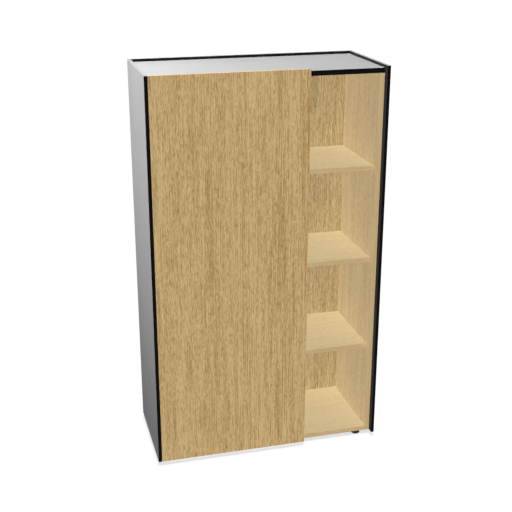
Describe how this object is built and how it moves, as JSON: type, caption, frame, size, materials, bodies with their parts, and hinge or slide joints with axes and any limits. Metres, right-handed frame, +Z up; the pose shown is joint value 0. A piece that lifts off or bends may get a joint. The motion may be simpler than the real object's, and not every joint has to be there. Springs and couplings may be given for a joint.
{
  "type": "wardrobe",
  "caption": "Tall wardrobe with handleless oak doors beside an open shelf column, in a grey outer case with a low rim round its top, on levelling feet.",
  "frame": {"origin": "on the floor, under the middle of the case", "axes": "+X to the right seen from the front, +Y from the front to the back, +Z up"},
  "size_m": [1.2, 0.548, 2.032],
  "materials": {
    "oak": "light oak foil, matt",
    "grey_laminate": "light grey laminate on particle board, satin",
    "black_edging": "black edge band, satin",
    "zinc": "zinc plated",
    "steel_tube": "polished tube",
    "beech": "plain beech",
    "grey_plastic": "moulded, fine texture",
    "black_plastic": "moulded, satin",
    "buffer_rubber": "soft rubber"
  },
  "bodies": {
    "case": {"back_panel": "oak", "back_screws": "zinc", "bottom_panel": "oak", "cam_bolts": "zinc", "cam_housings": "zinc", "carcass_dowels": "beech", "clothes_rail": "steel_tube", "door_buffers": "buffer_rubber", "edge_band_left": "black_edging", "edge_band_right": "black_edging", "foot_sleeves": "zinc", "hat_shelf": "oak", "hat_shelf_pins": "zinc", "hinge_frame_plates_left": "zinc", "hinge_frame_plates_right": "zinc", "hinge_frame_screws_left": "zinc", "hinge_frame_screws_right": "zinc", "hinge_pins_left": "zinc", "hinge_pins_right": "zinc", "latch_housings": "grey_plastic", "latch_screws": "zinc", "latch_spring_left": "zinc", "latch_spring_right": "zinc", "outer_panel_back": "grey_laminate", "outer_panel_dowels": "beech", "outer_panel_left": "grey_laminate", "outer_panel_right": "grey_laminate", "partition": "oak", "rail_screws": "zinc", "rail_sockets": "zinc", "shelf_lower": "oak", "shelf_middle": "oak", "shelf_pins": "zinc", "shelf_upper": "oak", "side_panel_left": "oak", "side_panel_right": "oak", "top_edge_band": "black_edging", "top_panel": "grey_laminate"},
    "door_left": {"door_left": "oak", "hinge_door_plates_left": "zinc", "hinge_door_screws_left": "zinc", "strike_plate_left": "zinc", "strike_screws_left": "zinc"},
    "door_right": {"door_right": "oak", "hinge_door_plates_right": "zinc", "hinge_door_screws_right": "zinc", "strike_plate_right": "zinc", "strike_screws_right": "zinc"},
    "plunger_left": {"latch_plunger_left": "grey_plastic"},
    "plunger_right": {"latch_plunger_right": "grey_plastic"},
    "foot_front_left": {"foot_cup_front_left": "black_plastic", "foot_spindle_front_left": "zinc"},
    "foot_front_right": {"foot_cup_front_right": "black_plastic", "foot_spindle_front_right": "zinc"},
    "foot_rear_left": {"foot_cup_rear_left": "black_plastic", "foot_spindle_rear_left": "zinc"},
    "foot_rear_right": {"foot_cup_rear_right": "black_plastic", "foot_spindle_rear_right": "zinc"}
  },
  "joints": [
    {"name": "door_left_hinge", "type": "hinge", "parent": "case", "child": "door_left", "pos_m": [-0.5635, -0.2655, 1.026], "axis": [0, 0, -1], "range_deg": [0, 95]},
    {"name": "door_right_hinge", "type": "hinge", "parent": "case", "child": "door_right", "pos_m": [0.17817, -0.2655, 1.026], "axis": [0, 0, 1], "range_deg": [0, 95]},
    {"name": "plunger_left_slide", "type": "slide", "parent": "case", "child": "plunger_left", "axis": [0, 1, 0], "range_m": [0, 0.004], "stiffness_N_per_m": 300, "springref_m": -0.01, "deforming": ["latch_spring_left"]},
    {"name": "plunger_right_slide", "type": "slide", "parent": "case", "child": "plunger_right", "axis": [0, 1, 0], "range_m": [0, 0.004], "stiffness_N_per_m": 300, "springref_m": -0.01, "deforming": ["latch_spring_right"]},
    {"name": "foot_front_left_screw", "type": "slide", "parent": "case", "child": "foot_front_left", "axis": [0, 0, -1], "range_m": [0, 0.012]},
    {"name": "foot_front_right_screw", "type": "slide", "parent": "case", "child": "foot_front_right", "axis": [0, 0, -1], "range_m": [0, 0.012]},
    {"name": "foot_rear_left_screw", "type": "slide", "parent": "case", "child": "foot_rear_left", "axis": [0, 0, -1], "range_m": [0, 0.012]},
    {"name": "foot_rear_right_screw", "type": "slide", "parent": "case", "child": "foot_rear_right", "axis": [0, 0, -1], "range_m": [0, 0.012]}
  ]
}
